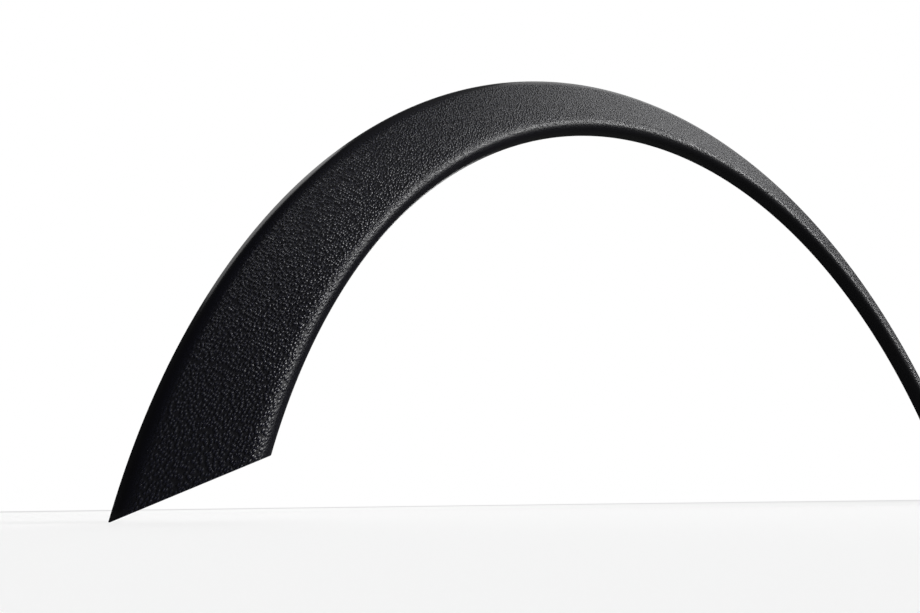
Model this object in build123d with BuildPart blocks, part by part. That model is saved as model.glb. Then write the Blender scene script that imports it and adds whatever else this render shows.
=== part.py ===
"""Wheel arch trim: one moulded arch of C-shaped section, hollow behind, held by clips.

Frame: millimetres. The origin is on the mounting plane, at the crown of the rim's foot.
+X runs along the arch's span, +Y points inboard through the mounting plane, +Z is up.
Section sketches use (radius from the axle line, height outboard of the mounting plane).
"""

import os
from math import asin, atan2, cos, degrees, hypot, radians, sin, sqrt, tan

from build123d import *

# Arch
outer_radius = 425.0  # the rim's foot on the mounting plane, from the axle line
trim_width = 60.0  # from the rim's foot in to the return flange
trim_depth = 20.0  # from the mounting plane out to the crest of the roll
wall = 3.0

# Rim along the outer edge, rounded over into the face
rim_height = 4.0
rim_lean = 3.0  # how far the rim's side leans inwards over its height
rim_round = 8.0
seat_width = 8.0  # flat foot of the rim

# Roll and return flange along the wheel opening
roll_radius = 9.0
flange_gap = 7.0  # the flange stops this far short of the mounting plane

# Ends
end_height = 34.0  # outer corner of each end, above the axle line
end_slope = 25.0  # the end rises towards the wheel opening, in degrees

# Clip seats: small boxes behind the face, each with a keyhole for a push-in clip
seats_per_side = 4
seat_pitch = 21.0  # degrees around the axle line
seat_inset = 28.0  # the clip holes, from the wheel opening
seat_length = 20.0  # radially
seat_breadth = 22.0
seat_wall = 1.8
seat_plate = 2.0
seat_gap = 1.0  # the plate stands this far off the mounting plane
clip_hole = 8.0  # diameter
clip_slot = 5.0  # width of the keyhole's mouth

# Ribs between the face and the return flange
ribs_per_bay = 2  # between one clip seat and the next
rib_wall = 1.8
rib_reach = 28.0  # from the wheel opening, along the back of the face
rib_setback = 2.5  # the rib starts this far inside the flange's edge

over = 1.0  # cuts run past the solid by this much
half_turn = 180.0  # degrees, the full sections are turned this far before the ends are cut

# Worked out from the driving dimensions
crown_angle = half_turn / 2
inner_radius = outer_radius - trim_width
seat_radius = inner_radius + seat_inset
rim_crest = (outer_radius - rim_lean, rim_height)

# The face runs from the rim's crest and meets the roll in a tangent
roll_centre = (inner_radius + roll_radius, trim_depth - roll_radius)
face_run = rim_crest[0] - roll_centre[0]
face_rise = roll_centre[1] - rim_crest[1]
face_angle = atan2(face_rise, face_run) + asin(roll_radius / hypot(face_run, face_rise))

axle = Axis((0, 0, -outer_radius), (0, 1, 0))
arch_plane = Plane(origin=axle.position, x_dir=(1, 0, 0), z_dir=(0, -1, 0))
section_plane = Plane(origin=axle.position, x_dir=(-1, 0, 0), z_dir=(0, 0, 1))


def skin(radius, depth):
    """Height of the face at a radius, measured at a depth inside the wall."""
    return rim_crest[1] + (rim_crest[0] - radius) * tan(face_angle) - depth / cos(face_angle)


def roll_corner(depth):
    """Where the lines of the face and the flange would cross, at a depth inside the wall."""
    return (inner_radius + depth, skin(inner_radius + depth, depth))


# Clip seat, modelled on the section through its own hole
with BuildPart() as clip_seat:
    seat_low = seat_radius - seat_length / 2
    seat_high = seat_radius + seat_length / 2
    with BuildSketch(Plane.XZ):
        with BuildLine():
            Polyline(
                (seat_low, seat_gap),
                (seat_high, seat_gap),
                (seat_high, skin(seat_high, wall / 2)),
                (seat_low, skin(seat_low, wall / 2)),
                close=True,
            )
        make_face()
    extrude(amount=seat_breadth / 2, both=True)
    # Room for the clip's head, open towards the wheel opening
    with BuildSketch(Plane.XZ):
        with BuildLine():
            Polyline(
                (seat_low - over, seat_gap + seat_plate),
                (seat_high - seat_wall, seat_gap + seat_plate),
                (seat_high - seat_wall, trim_depth + over),
                (seat_low - over, trim_depth + over),
                close=True,
            )
        make_face()
    extrude(amount=seat_breadth / 2 - seat_wall, both=True, mode=Mode.SUBTRACT)
    # Keyhole through the plate
    with BuildSketch(Plane.XY.offset(seat_gap)):
        with Locations((seat_radius, 0)):
            Circle(clip_hole / 2)
            Rectangle(seat_length / 2 + over, clip_slot, align=(Align.MAX, Align.CENTER))
    extrude(amount=seat_plate, mode=Mode.SUBTRACT)

# Rib, a gusset in the corner between the face and the flange
with BuildPart() as rib:
    rib_end = inner_radius + rib_reach
    with BuildSketch(Plane.XZ):
        with BuildLine():
            inside = FilletPolyline(
                (inner_radius + wall / 2, flange_gap + rib_setback),
                roll_corner(wall / 2),
                (rib_end, skin(rib_end, wall / 2)),
                radius=[roll_radius - wall / 2],
            )
            Line(inside @ 1, inside @ 0)
        make_face()
    extrude(amount=rib_wall / 2, both=True)

# What is cut away below each end, the right one drawn and then mirrored
end_corner = (sqrt(outer_radius**2 - end_height**2), end_height)
inward = (-cos(radians(end_slope)), sin(radians(end_slope)))
cut_length = 2 * trim_width
with BuildSketch(arch_plane) as end_cuts:
    with BuildLine():
        Polyline(
            (end_corner[0] - trim_width * inward[0], end_corner[1] - trim_width * inward[1]),
            (end_corner[0] + cut_length * inward[0], end_corner[1] + cut_length * inward[1]),
            (end_corner[0] + cut_length * inward[0], -outer_radius),
            (end_corner[0] - trim_width * inward[0], -outer_radius),
            close=True,
        )
    make_face()
    mirror(about=Plane.YZ)

# Hollow behind the face, stopping a wall short of each end
with BuildPart() as hollow:
    seat_edge = outer_radius - seat_width
    with BuildSketch(section_plane):
        with BuildLine():
            FilletPolyline(
                (inner_radius - over, -over),
                (inner_radius - over, flange_gap),
                (inner_radius + wall, flange_gap),
                roll_corner(wall),
                (seat_edge, skin(seat_edge, wall)),
                (seat_edge, -over),
                radius=[0, 0, 0, roll_radius - wall, 0, 0],
                close=True,
            )
        make_face()
    revolve(axis=axle, revolution_arc=half_turn)
    with BuildSketch(arch_plane.offset(-over)):
        add(end_cuts.sketch_local)
        offset(amount=wall, kind=Kind.INTERSECTION)
    extrude(amount=trim_depth + 2 * over, mode=Mode.SUBTRACT)

# The trim: full section turned about the axle line, ends cut, then hollowed
with BuildPart() as arch_trim:
    with BuildSketch(section_plane):
        with BuildLine():
            FilletPolyline(
                (outer_radius, 0),
                rim_crest,
                roll_corner(0),
                (inner_radius, 0),
                radius=[0, rim_round, roll_radius, 0],
                close=True,
            )
        make_face()
    revolve(axis=axle, revolution_arc=half_turn)
    with BuildSketch(arch_plane.offset(-over)):
        add(end_cuts.sketch_local)
    extrude(amount=trim_depth + 2 * over, mode=Mode.SUBTRACT)
    add(hollow.part, mode=Mode.SUBTRACT)

    # Clip seats evenly around the arch, and ribs evenly in the bays between them
    seat_count = 2 * seats_per_side
    bay_count = seat_count - 1
    seat_span = bay_count * seat_pitch
    first_seat = crown_angle - seat_span / 2
    rib_step = seat_pitch / (ribs_per_bay + 1)
    with Locations(arch_plane):
        with PolarLocations(0, seat_count, first_seat, seat_span, endpoint=True):
            add(clip_seat.part)
        with PolarLocations(0, bay_count, first_seat, seat_span):
            with PolarLocations(0, ribs_per_bay, rib_step, ribs_per_bay * rib_step):
                add(rib.part)

arch_trim.part.label = "arch_trim"
os.makedirs("parts", exist_ok=True)
export_step(arch_trim.part, "parts/arch_trim.step")
print(f"face slope {degrees(face_angle):.1f} degrees, volume {arch_trim.part.volume / 1000:.0f} cm3")
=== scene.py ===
# %% [markdown]
# # A wheel arch trim
# The real part is one arch of black plastic, moulded in a single shot: a grained face with a rim along its
# outer edge, a soft roll and a return flange along the wheel opening, and clip seats and ribs behind. This
# lesson loads the CAD model as a fixed frame, models the same moulding again with finer edges, gives it the
# grain that its tool leaves, and lights it.

# %% Load the frame
from math import asin, atan2, cos, degrees, hypot, pi, radians, sin, tan

import bmesh
import bpy
from mathutils import Euler, Matrix, Vector


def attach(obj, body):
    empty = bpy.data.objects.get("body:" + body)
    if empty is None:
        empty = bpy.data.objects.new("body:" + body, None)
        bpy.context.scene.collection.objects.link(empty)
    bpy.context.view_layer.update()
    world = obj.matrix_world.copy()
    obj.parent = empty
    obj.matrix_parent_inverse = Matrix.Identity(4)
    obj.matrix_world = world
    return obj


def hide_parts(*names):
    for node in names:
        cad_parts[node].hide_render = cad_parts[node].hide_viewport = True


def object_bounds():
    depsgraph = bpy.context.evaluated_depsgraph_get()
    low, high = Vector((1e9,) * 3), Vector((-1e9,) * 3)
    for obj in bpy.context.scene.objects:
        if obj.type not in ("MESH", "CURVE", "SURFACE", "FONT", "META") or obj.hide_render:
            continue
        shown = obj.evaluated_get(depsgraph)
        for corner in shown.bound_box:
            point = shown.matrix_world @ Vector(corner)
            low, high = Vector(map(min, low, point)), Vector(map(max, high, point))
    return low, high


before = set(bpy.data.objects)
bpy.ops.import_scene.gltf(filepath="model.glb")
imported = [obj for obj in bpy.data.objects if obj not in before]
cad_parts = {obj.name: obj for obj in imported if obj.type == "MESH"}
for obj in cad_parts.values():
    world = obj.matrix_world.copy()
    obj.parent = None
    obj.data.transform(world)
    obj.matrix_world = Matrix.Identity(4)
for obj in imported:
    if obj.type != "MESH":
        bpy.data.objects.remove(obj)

cad_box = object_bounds()
print("CAD nodes:", sorted(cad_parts))
print("CAD box:", [tuple(round(c, 4) for c in corner) for corner in cad_box])

# %% [markdown]
# ## The section
# A moulding like this is drawn as one section that is turned about the axle line. Every size below is the
# CAD model's own, so the new piece lies exactly over the solid. `skin` gives the height of the sloping face
# at any radius, and at any depth inside its wall, so that the outside, the hollow, the seats and the ribs
# all agree.

# %% Sizes of the section, in metres
MM = 0.001
CM = 10 * MM
OUTER_RADIUS = 425 * MM
TRIM_WIDTH = 60 * MM
TRIM_DEPTH = 20 * MM
WALL = 3 * MM
RIM_HEIGHT = 4 * MM
RIM_LEAN = 3 * MM
RIM_ROUND = 8 * MM
SEAT_WIDTH = 8 * MM
ROLL_RADIUS = 9 * MM
FLANGE_GAP = 7 * MM

INNER_RADIUS = OUTER_RADIUS - TRIM_WIDTH
CREST = (OUTER_RADIUS - RIM_LEAN, RIM_HEIGHT)
FACE_RUN = CREST[0] - (INNER_RADIUS + ROLL_RADIUS)
FACE_RISE = TRIM_DEPTH - ROLL_RADIUS - CREST[1]
FACE_ANGLE = atan2(FACE_RISE, FACE_RUN) + asin(ROLL_RADIUS / hypot(FACE_RUN, FACE_RISE))


def skin(radius, depth):
    """Height of the face at a radius, at a depth inside its wall."""
    return CREST[1] + (CREST[0] - radius) * tan(FACE_ANGLE) - depth / cos(FACE_ANGLE)


def roll_corner(depth):
    """Where the lines of the face and the flange would cross, at a depth inside the wall."""
    return (INNER_RADIUS + depth, skin(INNER_RADIUS + depth, depth))


print(f"the face slopes {degrees(FACE_ANGLE):.1f} degrees")

# %% [markdown]
# ## Two finishes on one moulding
# The tool is etched only where the eye falls: the outside has a leather grain on its face, and the back, the
# seats, the ribs and the end walls are left plain. A mesh keeps that as a material index on each face. Both
# materials are made here, still empty, so that every tool shape carries the same two slots and the cuts below
# keep the right one.

# %% Empty materials, filled in later
GRAINED, PLAIN = 0, 1
finishes = [bpy.data.materials.new("grained_black_plastic"), bpy.data.materials.new("plain_black_plastic")]
for finish in finishes:
    finish.use_nodes = True
print("finishes:", [finish.name for finish in finishes])

# %% [markdown]
# ## Drawing with a vertex
# A section could be typed in as a long list of points, but then its roundings are frozen. Here one vertex is
# used as a pen: extruding it draws a straight run, and spinning it about a centre draws a true arc. A vertex
# bevel would be shorter, but on corners that aren't square it leaves an ellipse and not a circle.

# %% The pen
ARC_STEP = radians(8)


def draw_outline(corners, rounds):
    """A closed wire on the section at the crown. Corners are (radius, height), with a rounding for each."""
    bm = bmesh.new()
    points = [Vector((0, -height, radius - OUTER_RADIUS)) for radius, height in corners]
    pen = None
    for i, corner in enumerate(points):
        way_in = (corner - points[i - 1]).normalized()
        way_out = (points[(i + 1) % len(points)] - corner).normalized()
        turn = way_in.angle(way_out)
        start = corner - way_in * rounds[i] * tan(turn / 2)
        if pen is None:
            pen = first = bm.verts.new(start)
        else:
            pen = bmesh.ops.extrude_vert_indiv(bm, verts=[pen])["verts"][0]
            pen.co = start
        if rounds[i]:
            axis = way_in.cross(way_out).normalized()
            centre = start + axis.cross(way_in) * rounds[i]
            steps = max(2, round(turn / ARC_STEP))
            arc = bmesh.ops.spin(bm, geom=[pen], cent=centre, axis=axis, angle=turn, steps=steps)
            pen = arc["geom_last"][0]
    bm.edges.new((pen, first))
    return bm


# %% [markdown]
# ## Turning the arch
# Spinning the wire about the axle line gives half an arch, from the crown down to the right. Its end isn't
# square but slopes up towards the wheel opening. A plane could cut it, but that leaves slivers which no bevel
# can round. Instead every ring leans a little more than the last, until the final one lies on the end's
# plane: each vertex only slides along its own circle, so the surface stays true. A mirror then makes the left
# half. The normals are recalculated once the doubles at the crown are merged.

# %% Half an arch, leaned, closed and mirrored
TURN_STEPS = 120
END_SEGMENTS = 3
MERGE = 0.002 * MM
END_HEIGHT = 34 * MM
END_SLOPE = radians(25)
AXLE = Vector((0, 0, -OUTER_RADIUS))
END_REACH = OUTER_RADIUS * sin(asin(END_HEIGHT / OUTER_RADIUS) + END_SLOPE)  # axle line to the end's plane


def lean_rings(bm, reach):
    """Slide each vertex along its circle, so that the last ring lies on a plane this far from the axle."""
    for vert in bm.verts:
        spot = vert.co - AXLE
        radius = hypot(spot.x, spot.z)
        share = atan2(spot.x, spot.z) / (pi / 2)
        angle = share * (pi / 2 - asin(reach / radius) + END_SLOPE)
        vert.co = AXLE + Vector((radius * sin(angle), spot.y, radius * cos(angle)))


def turn_arch(bm, short_of_end, end_round):
    """Turn a section into the whole arch, its ends this far short of the true ends."""
    spun = bmesh.ops.spin(bm, geom=bm.edges[:], cent=AXLE, axis=(0, 1, 0), angle=pi / 2, steps=TURN_STEPS)
    end_edges = [part for part in spun["geom_last"] if isinstance(part, bmesh.types.BMEdge)]
    lean_rings(bm, END_REACH + short_of_end)
    bmesh.ops.contextual_create(bm, geom=end_edges, mat_nr=PLAIN)
    if end_round:
        bmesh.ops.bevel(
            bm,
            geom=end_edges,
            offset=end_round,
            affect="EDGES",
            segments=END_SEGMENTS,
            profile=0.5,
            material=-1,
        )
    bmesh.ops.mirror(bm, geom=bm.verts[:] + bm.edges[:] + bm.faces[:], axis="X", merge_dist=MERGE)
    bmesh.ops.remove_doubles(bm, verts=bm.verts[:], dist=MERGE)
    bmesh.ops.recalc_face_normals(bm, faces=bm.faces[:])


# %% From a bmesh to an object
def report(name, bm):
    """Print how large a mesh is, and whether it is closed."""
    open_edges = sum(not edge.is_manifold for edge in bm.edges)
    print(f"{name}: {len(bm.faces)} faces, {open_edges} open edges, {bm.calc_volume() / CM**3:.1f} cm3")


def make_object(name, bm, finish=None):
    """A new object from a bmesh, with one finish all over where one is named."""
    report(name, bm)
    if finish is not None:
        for face in bm.faces:
            face.material_index = finish
    mesh = bpy.data.meshes.new(name)
    for material in finishes:
        mesh.materials.append(material)
    bm.to_mesh(mesh)
    bm.free()
    made = bpy.data.objects.new(name, mesh)
    bpy.context.scene.collection.objects.link(made)
    return made


# %% [markdown]
# ## The outside and the hollow
# The outside is turned as if the trim were solid. Its outline already has the wide roundings of the rim and
# the roll, and a fine bevel breaks the edge around each end, as a moulding tool does. What is hollow behind
# the face is a second solid, which stops one wall short of each end, so that cutting it out leaves the end
# walls standing.

# %% Outside and hollow
END_ROUND = 0.4 * MM
OVER = 1 * MM  # cuts run past the solid by this much
SEAT_EDGE = OUTER_RADIUS - SEAT_WIDTH

outline = draw_outline(
    [(OUTER_RADIUS, 0), CREST, roll_corner(0), (INNER_RADIUS, 0)],
    [0, RIM_ROUND, ROLL_RADIUS, 0],
)
turn_arch(outline, 0, END_ROUND)
trim = make_object("arch_trim_moulding", outline)

void = draw_outline(
    [
        (INNER_RADIUS - OVER, -OVER),
        (INNER_RADIUS - OVER, FLANGE_GAP),
        (INNER_RADIUS + WALL, FLANGE_GAP),
        roll_corner(WALL),
        (SEAT_EDGE, skin(SEAT_EDGE, WALL)),
        (SEAT_EDGE, -OVER),
    ],
    [0, 0, 0, ROLL_RADIUS - WALL, 0, 0],
)
turn_arch(void, WALL, 0)
hollow = make_object("hollow", void, PLAIN)

# %% [markdown]
# ## Cutting and joining
# Blender cuts one closed mesh with another through the Boolean modifier. Its exact solver takes a whole
# collection of tools at once, which is quicker than one modifier for each. The result is read back as a mesh,
# so the piece keeps no live modifier and its tools can go.

# %% A Boolean that is applied at once
def combine(body, operation, tools):
    """Cut the tools from a body, or join them to it, and then remove them."""
    group = bpy.data.collections.new("tools")
    bpy.context.scene.collection.children.link(group)
    for tool in tools:
        group.objects.link(tool)
    step = body.modifiers.new(operation, "BOOLEAN")
    step.operation = operation
    step.solver = "EXACT"
    step.operand_type = "COLLECTION"
    step.collection = group
    step.material_mode = "INDEX"
    result = bpy.data.meshes.new_from_object(body.evaluated_get(bpy.context.evaluated_depsgraph_get()))
    body.modifiers.clear()
    body.data = result
    clean = bmesh.new()
    clean.from_mesh(result)
    bmesh.ops.remove_doubles(clean, verts=clean.verts[:], dist=MERGE)
    bmesh.ops.dissolve_degenerate(clean, edges=clean.edges[:], dist=MERGE)
    clean.to_mesh(result)
    report(f"{body.name} after {operation.lower()}", clean)
    clean.free()
    for tool in tools:
        bpy.data.objects.remove(tool)
    bpy.data.collections.remove(group)


# %% [markdown]
# ## Clip seats and ribs
# Behind the face stand eight small boxes, each with a keyhole that a push-in clip slides into, and in the
# bays between them thin ribs hold the flange square to the face. Both are prisms: an outline drawn on the
# section and extruded along the arch. They are made once at the crown, and copies are turned about the axle
# line to their places. Each reaches half way into the wall, so that joining leaves no seam.

# %% Sizes of the seats and ribs
SEATS = 8
SEAT_PITCH = radians(21)
SEAT_INSET = 28 * MM
SEAT_LENGTH = 20 * MM
SEAT_BREADTH = 22 * MM
SEAT_WALL = 1.8 * MM
SEAT_PLATE = 2 * MM
SEAT_GAP = 1 * MM
CLIP_HOLE = 8 * MM
CLIP_SLOT = 5 * MM
RIBS_PER_BAY = 2
RIB_WALL = 1.8 * MM
RIB_REACH = 28 * MM
RIB_SETBACK = 2.5 * MM

SEAT_RADIUS = INNER_RADIUS + SEAT_INSET
SEAT_LOW = SEAT_RADIUS - SEAT_LENGTH / 2
SEAT_HIGH = SEAT_RADIUS + SEAT_LENGTH / 2
PLATE_TOP = SEAT_GAP + SEAT_PLATE
RIB_END = INNER_RADIUS + RIB_REACH
print(f"{SEATS} clip seats on a circle of {SEAT_RADIUS / MM:.0f} mm, {RIBS_PER_BAY} ribs in each bay")


# %% A prism at the crown, and copies around the arch
def prism(name, corners, rounds, breadth):
    """Close an outline with a face and extrude it, half to each side of the section."""
    bm = draw_outline(corners, rounds)
    bmesh.ops.translate(bm, vec=(-breadth / 2, 0, 0), verts=bm.verts[:])
    face = bmesh.ops.contextual_create(bm, geom=bm.edges[:])["faces"]
    grown = bmesh.ops.extrude_face_region(bm, geom=face, use_keep_orig=True)["geom"]
    moved = [part for part in grown if isinstance(part, bmesh.types.BMVert)]
    bmesh.ops.translate(bm, vec=(breadth, 0, 0), verts=moved)
    bmesh.ops.recalc_face_normals(bm, faces=bm.faces[:])
    return make_object(name, bm, PLAIN)


def at_angle(master, angle):
    """A copy of a piece at the crown, turned about the axle line."""
    copy = bpy.data.objects.new(master.name, master.data.copy())
    turn = Matrix.Translation(AXLE) @ Matrix.Rotation(angle, 4, "Y") @ Matrix.Translation(-AXLE)
    copy.data.transform(turn)
    bpy.context.scene.collection.objects.link(copy)
    return copy


# %% One clip seat, with the clip's room and its keyhole cut out
SQUARE = [0, 0, 0, 0]  # four corners without a rounding
BORE_SEGMENTS = 48

seat = prism(
    "clip_seat",
    [
        (SEAT_LOW, SEAT_GAP),
        (SEAT_HIGH, SEAT_GAP),
        (SEAT_HIGH, skin(SEAT_HIGH, WALL / 2)),
        (SEAT_LOW, skin(SEAT_LOW, WALL / 2)),
    ],
    SQUARE,
    SEAT_BREADTH,
)
clip_room = prism(
    "clip_room",
    [
        (SEAT_LOW - OVER, PLATE_TOP),
        (SEAT_HIGH - SEAT_WALL, PLATE_TOP),
        (SEAT_HIGH - SEAT_WALL, TRIM_DEPTH),
        (SEAT_LOW - OVER, TRIM_DEPTH),
    ],
    SQUARE,
    SEAT_BREADTH - 2 * SEAT_WALL,
)
clip_mouth = prism(
    "clip_mouth",
    [
        (SEAT_LOW - OVER, 0),
        (SEAT_RADIUS, 0),
        (SEAT_RADIUS, PLATE_TOP + OVER),
        (SEAT_LOW - OVER, PLATE_TOP + OVER),
    ],
    SQUARE,
    CLIP_SLOT,
)

bore = bmesh.new()
bmesh.ops.create_cone(
    bore,
    cap_ends=True,
    segments=BORE_SEGMENTS,
    radius1=CLIP_HOLE / 2,
    radius2=CLIP_HOLE / 2,
    depth=2 * (PLATE_TOP + OVER),
)
bmesh.ops.rotate(bore, verts=bore.verts[:], matrix=Matrix.Rotation(pi / 2, 3, "X"))
bmesh.ops.translate(bore, verts=bore.verts[:], vec=(0, 0, SEAT_RADIUS - OUTER_RADIUS))
clip_bore = make_object("clip_bore", bore, PLAIN)
combine(seat, "DIFFERENCE", [clip_room, clip_mouth, clip_bore])

# %% One rib, a gusset in the corner between the face and the flange
rib = prism(
    "rib",
    [
        (INNER_RADIUS + WALL / 2, FLANGE_GAP + RIB_SETBACK),
        roll_corner(WALL / 2),
        (RIB_END, skin(RIB_END, WALL / 2)),
    ],
    [0, ROLL_RADIUS - WALL / 2, 0],
    RIB_WALL,
)

# %% Cut the hollow, and join the seats and the ribs in their places
first_seat = -SEAT_PITCH * (SEATS - 1) / 2
rib_step = SEAT_PITCH / (RIBS_PER_BAY + 1)
backing = [at_angle(seat, first_seat + n * SEAT_PITCH) for n in range(SEATS)]
for bay in range(SEATS - 1):
    for n in range(RIBS_PER_BAY):
        backing.append(at_angle(rib, first_seat + bay * SEAT_PITCH + (n + 1) * rib_step))
combine(trim, "DIFFERENCE", [hollow])
combine(trim, "UNION", backing)
bpy.data.objects.remove(seat)
bpy.data.objects.remove(rib)

# %% [markdown]
# ## Smooth where it curves, sharp where it turns
# Every face starts flat, which shows as facets. Smooth shading blends the normals over the roll and along the
# arch, and marking each edge that turns by more than 30 degrees as sharp keeps the walls, ribs and holes
# crisp.

# %% Shading
SHARP_TURN = radians(30)
trim.data.shade_smooth()
trim.data.set_sharp_from_angle(angle=SHARP_TURN)
print("triangles:", sum(len(face.vertices) - 2 for face in trim.data.polygons))

# %% [markdown]
# ## Building a material from nodes
# A node tree can be wired by hand in the editor. In a script a small helper keeps it readable: it makes one
# node, sets its options, and fills each input either with a number or with a link from another node. The
# other helpers are the few nodes that the finishes use most.

# %% Helpers for nodes
def add_node(tree, kind, inputs, **options):
    """One new node, with its options set and its inputs filled or linked."""
    node = tree.nodes.new(kind)
    for option, value in options.items():
        setattr(node, option, value)
    for socket, value in inputs.items():
        if isinstance(value, bpy.types.NodeSocket):
            tree.links.new(value, node.inputs[socket])
        else:
            node.inputs[socket].default_value = value
    return node


def ramp(tree, value, start, end, low, high):
    """A soft step: low before start, high after end."""
    node = add_node(
        tree,
        "ShaderNodeMapRange",
        {"Value": value, "From Min": start, "From Max": end, "To Min": low, "To Max": high},
        interpolation_type="SMOOTHSTEP",
    )
    return node.outputs["Result"]


def calculate(tree, operation, *values):
    """The result of one Math node."""
    return add_node(tree, "ShaderNodeMath", dict(enumerate(values)), operation=operation).outputs[0]


def noise(tree, place, scale, detail):
    """The outputs of a noise texture, "Fac" and "Color"."""
    return add_node(tree, "ShaderNodeTexNoise", {"Vector": place, "Scale": scale, "Detail": detail}).outputs


def bumps(tree, height, depth):
    """A normal that follows a height, with its depth in metres."""
    return add_node(tree, "ShaderNodeBump", {"Height": height, "Distance": depth}).outputs["Normal"]


def mix(tree, share, low, high):
    """A colour between two others."""
    node = add_node(tree, "ShaderNodeMix", {"Factor": share, "A": low, "B": high}, data_type="RGBA")
    return node.outputs["Result"]


def object_coordinates(tree):
    """A point's place in the frame, in metres."""
    return add_node(tree, "ShaderNodeTexCoord", {}).outputs["Object"]


# %% What both finishes share
SHEEN = 0.3


def fill_shader(tree, colour, roughness, normal):
    """Wire a finish into the shader that every new material starts with."""
    shader = tree.nodes["Principled BSDF"]
    tree.links.new(colour, shader.inputs["Base Color"])
    tree.links.new(roughness, shader.inputs["Roughness"])
    tree.links.new(normal, shader.inputs["Normal"])
    shader.inputs["Specular IOR Level"].default_value = SHEEN


# %% [markdown]
# ## The grained face
# The grain is a fine leather pattern, etched into the tool: pebbles a little over one millimetre wide and two
# long, all leaning one way across the whole arch, with thin creases between them. A Voronoi texture makes
# such cells, and a noise that pushes its coordinates about takes away their straight sides. The texture is a
# flat one, laid on the plane of the arch: a solid one would be cut by the sloping face at all heights, and
# many of its cells would come out too small. The grain fades out at the rim and over the roll, so its height
# is multiplied by two soft steps that depend on the distance from the axle line alone.

# %% Where the grain is
RIM_FADE = (415 * MM, 421 * MM)
ROLL_FADE = (367 * MM, 376 * MM)


def grain_limits(tree, place):
    """Two soft steps over the radius: 1 inside the rim, and 1 outside the roll."""
    flat = add_node(
        tree,
        "ShaderNodeMapping",
        {"Vector": place, "Location": (0, 0, OUTER_RADIUS), "Scale": (1, 0, 1)},
    ).outputs["Vector"]
    radius = add_node(tree, "ShaderNodeVectorMath", {0: flat}, operation="LENGTH").outputs["Value"]
    return ramp(tree, radius, *RIM_FADE, 1, 0), ramp(tree, radius, *ROLL_FADE, 0, 1)


# %% The pebbles of the grain
GRAIN_LEAN = radians(28)
PEBBLE = (1.35 * MM, 2.3 * MM, 1 * MM)
PUSH = (0.25, 0.25, 0)  # how far the noise moves a point, in pebbles
PUSH_SCALE = 0.8
DOME = (0.05, 0.65)  # a pebble falls away between these distances from its middle
LOWEST_PEBBLE = 0.6


def grain_height(tree, place):
    """Height of the grain, from 0 in a crease to 1 on the highest pebbles."""
    cells = add_node(
        tree,
        "ShaderNodeMapping",
        {"Vector": place, "Rotation": (pi / 2, GRAIN_LEAN, 0), "Scale": PEBBLE},
        vector_type="TEXTURE",
    ).outputs["Vector"]
    pushed = add_node(
        tree,
        "ShaderNodeVectorMath",
        {0: noise(tree, cells, PUSH_SCALE, 2)["Color"], 1: PUSH, 2: cells},
        operation="MULTIPLY_ADD",
    ).outputs["Vector"]
    pebbles = add_node(
        tree, "ShaderNodeTexVoronoi", {"Vector": pushed, "Scale": 1}, voronoi_dimensions="2D"
    ).outputs
    dome = ramp(tree, pebbles["Distance"], *DOME, 1, 0)
    own_height = ramp(tree, pebbles["Color"], 0, 1, LOWEST_PEBBLE, 1)
    return calculate(tree, "MULTIPLY", dome, own_height)


# %% [markdown]
# ## The grained plastic
# The tops of the pebbles are polished by every wash and every sleeve that brushes past, and the creases
# between them stay dull. So the height of the grain does three things at once: it drives the bump, it mixes
# two blacks, which paints shade into the creases, and it roughens the creases. Where the grain has run out,
# over the roll, the plastic is satin all over, which draws the highlight there out into a soft band.

# %% The grained plastic
GRAIN_DEPTH = 0.45 * MM
CREASE = (0.02, 0.35)  # a crease ends between these heights of the grain
# painted shade: a darker black for the creases, standing in for the shade that falls into them
PAINTED_CREASE_SHADE = (0.003, 0.003, 0.0055, 1)
PEBBLE_BLACK = (0.014, 0.0145, 0.025, 1)
CLOUDS = (0.3, 0.7)  # most of a noise lies between these values
POLISH_SCALE = 14
POLISH = (0.18, 0.22)
CREASE_ROUGHNESS = 0.35
ROLL_ROUGHNESS = 0.16


def fill_grained(tree):
    place = object_coordinates(tree)
    inside_rim, outside_roll = grain_limits(tree, place)
    mask = calculate(tree, "MULTIPLY", inside_rim, outside_roll)
    grain = grain_height(tree, place)
    height = calculate(tree, "MULTIPLY", grain, mask)
    creases = calculate(tree, "MULTIPLY", ramp(tree, grain, *CREASE, 1, 0), mask)
    polish = ramp(tree, noise(tree, place, POLISH_SCALE, 3)["Fac"], *CLOUDS, *POLISH)
    dull_creases = calculate(tree, "MULTIPLY_ADD", creases, CREASE_ROUGHNESS, polish)
    satin_roll = ramp(tree, outside_roll, 0, 1, ROLL_ROUGHNESS, 0)
    roughness = calculate(tree, "ADD", dull_creases, satin_roll)
    # painted shade: the grain's height mixes the darker crease black into the creases
    colour = mix(tree, height, PAINTED_CREASE_SHADE, PEBBLE_BLACK)
    fill_shader(tree, colour, roughness, bumps(tree, height, GRAIN_DEPTH))


fill_grained(finishes[GRAINED].node_tree)
print("grained finish:", len(finishes[GRAINED].node_tree.nodes), "nodes")

# %% [markdown]
# ## The plain back
# The back was never polished: it shows the faint matt of a spark-eroded tool, with paler clouds where the
# melt cooled against it unevenly. A fine noise gives the matt as bump, and a second one, large and slow,
# varies the tone and the roughness together.

# %% The plain plastic
MATT_SCALE = 1500
MATT_DEPTH = 0.03 * MM
TONE_SCALE = 25
DARK_TONE = (0.017, 0.017, 0.021, 1)
PALE_TONE = (0.024, 0.0245, 0.03, 1)
MATT = (0.42, 0.56)


def fill_plain(tree):
    place = object_coordinates(tree)
    clouds = noise(tree, place, TONE_SCALE, 3)["Fac"]
    normal = bumps(tree, noise(tree, place, MATT_SCALE, 2)["Fac"], MATT_DEPTH)
    fill_shader(tree, mix(tree, clouds, DARK_TONE, PALE_TONE), ramp(tree, clouds, *CLOUDS, *MATT), normal)


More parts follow.
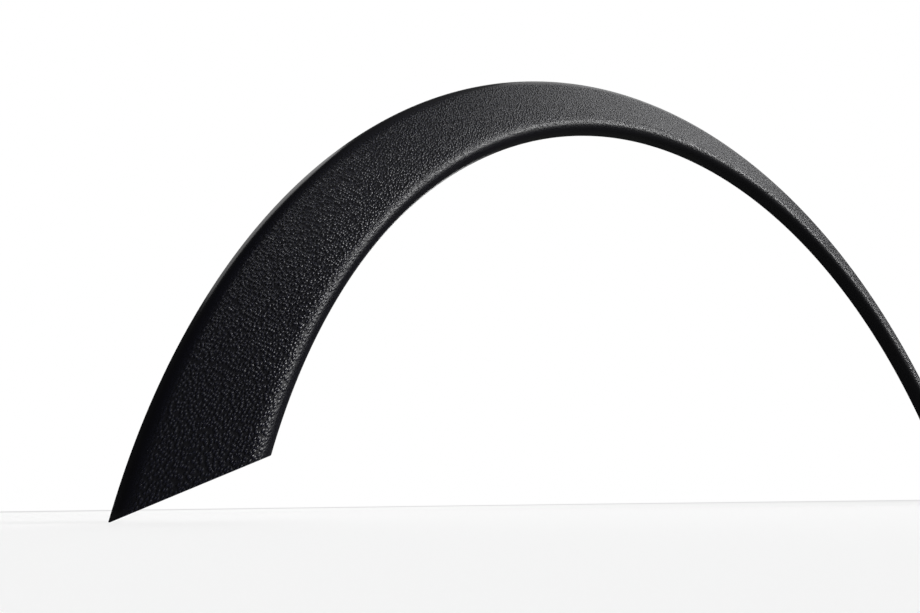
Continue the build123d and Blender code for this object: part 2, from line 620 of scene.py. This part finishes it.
fill_plain(finishes[PLAIN].node_tree)
print("plain finish:", len(finishes[PLAIN].node_tree.nodes), "nodes")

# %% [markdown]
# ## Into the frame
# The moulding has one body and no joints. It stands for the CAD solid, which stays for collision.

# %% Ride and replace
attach(trim, "root")
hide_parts("arch_trim")
print(trim.name, "stands for the node arch_trim")

# %% [markdown]
# ## Floor and background
# The trim stands on its two ends on a pale floor, in front of white. Rays from the camera and rays through
# glass see the world as plain white. Mirror rays get a small share of it, because the black plastic is seen
# so flat that it would mirror all of the white and look grey. The rays that only carry light find a darker
# floor, and a sky that is brightest towards the upper right front, so the background doesn't flood the object
# with light.

# %% Floor
FLOOR_REACH = 8
ground = bmesh.new()
bmesh.ops.create_grid(ground, x_segments=1, y_segments=1, size=FLOOR_REACH)
bmesh.ops.translate(ground, verts=ground.verts[:], vec=(0, 0, cad_box[0].z))
floor_mesh = bpy.data.meshes.new("floor")
ground.to_mesh(floor_mesh)
ground.free()
floor = bpy.data.objects.new("floor", floor_mesh)
bpy.context.scene.collection.objects.link(floor)
pale = bpy.data.materials.new("pale_floor")
pale.use_nodes = True
floor_mesh.materials.append(pale)
print(f"floor at {cad_box[0].z:.3f} m")

# %% What shows the background, and what only carries light
GLOSSY_SHARE = 0.04
WHITE = (1, 1, 1, 1)


def seen_directly(tree):
    """1 for rays that show the background, 0 for rays that only carry light."""
    path = add_node(tree, "ShaderNodeLightPath", {}).outputs
    mirrored = calculate(tree, "MULTIPLY", path["Is Glossy Ray"], GLOSSY_SHARE)
    open_view = calculate(tree, "MAXIMUM", path["Is Camera Ray"], path["Is Transmission Ray"])
    return calculate(tree, "MAXIMUM", open_view, mirrored)


def blend(tree, share, low, high):
    """A value between two others."""
    node = add_node(tree, "ShaderNodeMapRange", {"Value": share, "To Min": low, "To Max": high})
    return node.outputs["Result"]


# %% The world: white to look at, a dim sky for the light
LOW_LIGHT, HIGH_LIGHT = 0.03, 0.2
LIGHT_SIDE = (0.35, -0.5, 0.79)
LIGHT_FADE = (0.65, 1)  # how nearly a ray points to that side
world = bpy.data.worlds.new("studio")
world.use_nodes = True
bpy.context.scene.world = world
sky = world.node_tree
way = add_node(sky, "ShaderNodeTexCoord", {}).outputs["Generated"]
towards = add_node(sky, "ShaderNodeVectorMath", {0: way, 1: LIGHT_SIDE}, operation="DOT_PRODUCT")
glow = ramp(sky, towards.outputs["Value"], *LIGHT_FADE, LOW_LIGHT, HIGH_LIGHT)
background = sky.nodes["Background"]
background.inputs["Color"].default_value = WHITE
sky.links.new(blend(sky, seen_directly(sky), glow, 1), background.inputs["Strength"])
print(f"sky from {LOW_LIGHT} to {HIGH_LIGHT} of white")

# %% The floor's paint
FLOOR_LIFT = 0.71
DARK_FLOOR, PALE_FLOOR = 0.12, 0.27
FLOOR_ROUGHNESS = 0.9
paint = pale.node_tree
surface = paint.nodes["Principled BSDF"]
surface.inputs["Roughness"].default_value = FLOOR_ROUGHNESS
surface.inputs["Specular IOR Level"].default_value = 0
surface.inputs["Emission Color"].default_value = WHITE
shown = seen_directly(paint)
paint.links.new(blend(paint, shown, DARK_FLOOR, PALE_FLOOR), surface.inputs["Base Color"])
paint.links.new(blend(paint, shown, 0, FLOOR_LIFT), surface.inputs["Emission Strength"])
print("floor paint:", len(paint.nodes), "nodes")

# %% [markdown]
# ## Light
# Five large soft lamps, at a level at which a grey card would look about as grey as it is. The face slopes,
# so each part of the arch mirrors another direction, and the lamps' places shade it from dark at the left leg
# to pale at the crown. The key lamp, at the right front with a narrow beam, draws the long highlight down the
# roll and the glints in the grain. One high at the right is mirrored along the crown, and one behind at the
# left picks out the rim's outer side. A wide low one in front fills the face, and one behind shows the clip
# seats and ribs.

# %% Soft lamps
def soft_lamp(name, place, aim, size, watts, spread=180):
    """A rectangle of light, its size in metres and its spread in degrees."""
    lamp = bpy.data.lights.new(name, "AREA")
    lamp.shape = "RECTANGLE"
    lamp.size, lamp.size_y = size
    lamp.energy = watts
    lamp.spread = radians(spread)
    made = bpy.data.objects.new(name, lamp)
    made.location = place
    made.rotation_euler = (Vector(aim) - Vector(place)).to_track_quat("-Z", "Y").to_euler()
    made.visible_camera = False
    bpy.context.scene.collection.objects.link(made)


MIDDLE = (0, 0, -0.15)
LEFT_LEG = (-0.35, 0, -0.15)
soft_lamp("right_front", place=(1.43, -1.43, 0.65), aim=LEFT_LEG, size=(1, 1.7), watts=5, spread=34)
soft_lamp("overhead_right", place=(0.98, -0.1, 1.35), aim=MIDDLE, size=(1, 1.6), watts=4.9)
soft_lamp("behind_left", place=(-1.1, 0.7, 1.1), aim=MIDDLE, size=(1, 1), watts=5)
soft_lamp("front_fill", place=(1, -1.9, 0.4), aim=MIDDLE, size=(3, 1), watts=18)
soft_lamp("behind", place=(0.2, 1.9, 1), aim=MIDDLE, size=(2.4, 1.2), watts=32)
print("lamps:", [light.name for light in bpy.data.lights])

# %% [markdown]
# ## Camera
# The photograph was taken from low down near the left leg, looking up along the arch with a short lens.
# Matching the rim's outline, the roll's highlight and the flange's edge to the picture gave this place and
# focal length.

# %% Camera
FRAME_WIDTH = 920  # pixels
FOCAL_LENGTH = 540  # pixels
NEAREST = 0.02
CAMERA_PLACE = (-0.4098, -0.3002, -0.3853)
HEADING, RISE, TILT = radians(-28.81), radians(20.19), radians(-0.72)
lens = bpy.data.cameras.new("camera")
lens.sensor_fit = "HORIZONTAL"
lens.lens = FOCAL_LENGTH * lens.sensor_width / FRAME_WIDTH
lens.clip_start = NEAREST
camera = bpy.data.objects.new("camera", lens)
camera.location = CAMERA_PLACE
view = Euler((pi / 2 + RISE, 0, HEADING)).to_matrix() @ Matrix.Rotation(TILT, 3, "Z")
camera.rotation_euler = view.to_euler()
bpy.context.scene.collection.objects.link(camera)
bpy.context.scene.camera = camera
bpy.context.scene.view_settings.view_transform = "Standard"
print(f"lens {lens.lens:.1f} mm on a sensor {lens.sensor_width:.0f} mm wide")
